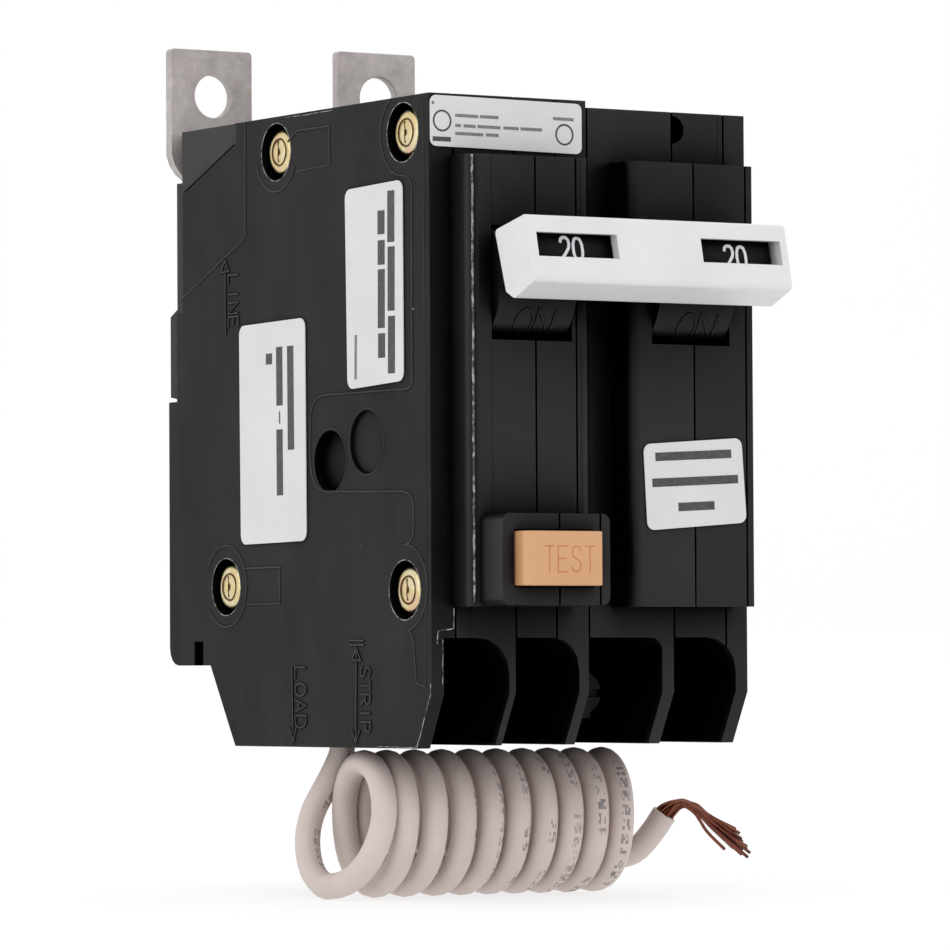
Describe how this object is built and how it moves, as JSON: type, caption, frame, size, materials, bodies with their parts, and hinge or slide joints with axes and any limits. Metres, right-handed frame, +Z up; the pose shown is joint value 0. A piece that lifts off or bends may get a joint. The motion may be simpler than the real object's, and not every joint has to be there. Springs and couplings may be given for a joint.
{
  "type": "ground-fault circuit breaker",
  "caption": "Ground-fault breaker with bolt-on line tabs, tied toggle handles, a test button, lower wire pockets and a coiled neutral lead with a bare end.",
  "frame": {"origin": "on the rear seat face, midway across the 50.8 mm width and half way up the seat", "axes": "+Z up towards the line tabs, +Y out of the rear seat into the panel, so the handles face -Y; +X to the right seen from the front"},
  "size_m": [0.071, 0.0924, 0.1207],
  "materials": {
    "case_black": "satin moulded phenolic",
    "case_brown_black": "satin moulded phenolic, faintly brown",
    "tie_white": "smooth white moulding",
    "button_orange": "smooth salmon-orange moulding",
    "label_white": "printed paper label, plain bars for print",
    "rivet_brass": "yellow zinc plated rivet",
    "tin_plate": "dull tin plated copper",
    "steel": "zinc plated steel",
    "copper": "bare copper",
    "bimetal_grey": "rolled strip",
    "board_green": "glass epoxy board",
    "ferrite_grey": "taped core",
    "bobbin_tan": "wound coil",
    "wire_ivory": "soft PVC insulation, ivory"
  },
  "bodies": {
    "case": {"left_cover": "case_black", "left_base": "case_black", "left_middle": "case_black", "left_inner_cover": "case_black", "right_base": "case_black", "right_middle": "case_brown_black", "right_cover": "case_brown_black", "rivet_1": "rivet_brass", "rivet_2": "rivet_brass", "rivet_3": "rivet_brass", "rivet_4": "rivet_brass", "side_label_front": "label_white", "side_label_rear": "label_white", "rating_label": "label_white", "tower_label": "label_white", "left_handle_pin": "steel", "right_handle_pin": "steel", "test_spring": "steel", "test_contact_leaf": "copper", "left_line_strap": "tin_plate", "left_bimetal": "bimetal_grey", "left_magnet_yoke": "steel", "left_arc_chute": "steel", "right_line_strap": "tin_plate", "right_bimetal": "bimetal_grey", "right_magnet_yoke": "steel", "right_arc_chute": "steel", "left_load_terminal": "steel", "left_load_clamp": "steel", "neutral_load_terminal": "steel", "neutral_load_clamp": "steel", "right_load_terminal": "steel", "right_load_clamp": "steel", "ground_fault_board": "board_green", "current_transformer": "ferrite_grey", "solenoid_coil": "bobbin_tan", "pigtail_lead": "wire_ivory", "pigtail_coil": "wire_ivory", "pigtail_tail": "wire_ivory", "pigtail_strands": "copper"},
    "handles": {"left_handle": "case_black", "right_handle": "case_black", "handle_tie": "tie_white"},
    "test_push": {"test_button": "button_orange"},
    "left_arm": {"left_contact_arm": "copper", "left_main_spring": "steel"},
    "left_trip_lever": {"left_cradle": "steel"},
    "left_armature_plate": {"left_armature": "steel"},
    "right_arm": {"right_contact_arm": "copper", "right_main_spring": "steel"},
    "right_trip_lever": {"right_cradle": "steel"},
    "right_armature_plate": {"right_armature": "steel"},
    "left_load_turn": {"left_load_screw": "steel"},
    "neutral_load_turn": {"neutral_load_screw": "steel"},
    "right_load_turn": {"right_load_screw": "steel"},
    "plunger": {"solenoid_plunger": "steel"}
  },
  "joints": [
    {"name": "handle_throw", "type": "hinge", "parent": "case", "child": "handles", "pos_m": [0, -0.0678, 0.031], "axis": [1, 0, 0], "range_deg": [0, 39]},
    {"name": "test_press", "type": "slide", "parent": "case", "child": "test_push", "axis": [0, 1, 0], "range_m": [0, 0.0015], "stiffness_N_per_m": 200, "deforming": ["test_spring"]},
    {"name": "left_contact_swing", "type": "hinge", "parent": "case", "child": "left_arm", "pos_m": [-0.01515, -0.0506, 0.026], "axis": [1, 0, 0], "range_deg": [-14, 0]},
    {"name": "left_cradle_trip", "type": "hinge", "parent": "case", "child": "left_trip_lever", "pos_m": [-0.01835, -0.0306, 0.039], "axis": [1, 0, 0], "range_deg": [0, 9], "stiffness_Nm_per_rad": 0.05},
    {"name": "left_armature_pull", "type": "hinge", "parent": "case", "child": "left_armature_plate", "pos_m": [-0.00955, -0.0426, -0.0065], "axis": [1, 0, 0], "range_deg": [-4, 0], "stiffness_Nm_per_rad": 0.005},
    {"name": "right_contact_swing", "type": "hinge", "parent": "case", "child": "right_arm", "pos_m": [0.01035, -0.0506, 0.026], "axis": [1, 0, 0], "range_deg": [-14, 0]},
    {"name": "right_cradle_trip", "type": "hinge", "parent": "case", "child": "right_trip_lever", "pos_m": [0.00715, -0.0306, 0.039], "axis": [1, 0, 0], "range_deg": [0, 9], "stiffness_Nm_per_rad": 0.05},
    {"name": "right_armature_pull", "type": "hinge", "parent": "case", "child": "right_armature_plate", "pos_m": [0.01595, -0.0426, -0.0065], "axis": [1, 0, 0], "range_deg": [-4, 0], "stiffness_Nm_per_rad": 0.005},
    {"name": "left_load_screw_turn", "type": "hinge", "parent": "case", "child": "left_load_turn", "pos_m": [-0.0173, -0.056, -0.0241], "axis": [0, 1, 0], "continuous": true},
    {"name": "neutral_load_screw_turn", "type": "hinge", "parent": "case", "child": "neutral_load_turn", "pos_m": [-0.0084, -0.056, -0.0241], "axis": [0, 1, 0], "continuous": true},
    {"name": "right_load_screw_turn", "type": "hinge", "parent": "case", "child": "right_load_turn", "pos_m": [0.0082, -0.056, -0.0241], "axis": [0, 1, 0], "continuous": true},
    {"name": "plunger_pull", "type": "slide", "parent": "case", "child": "plunger", "axis": [0, 0, 1], "range_m": [0, 0.003], "stiffness_N_per_m": 20}
  ],
  "couplings": [
    {"joint": "left_contact_swing", "follows": "handle_throw", "ratio": -0.35},
    {"joint": "right_contact_swing", "follows": "handle_throw", "ratio": -0.35}
  ]
}
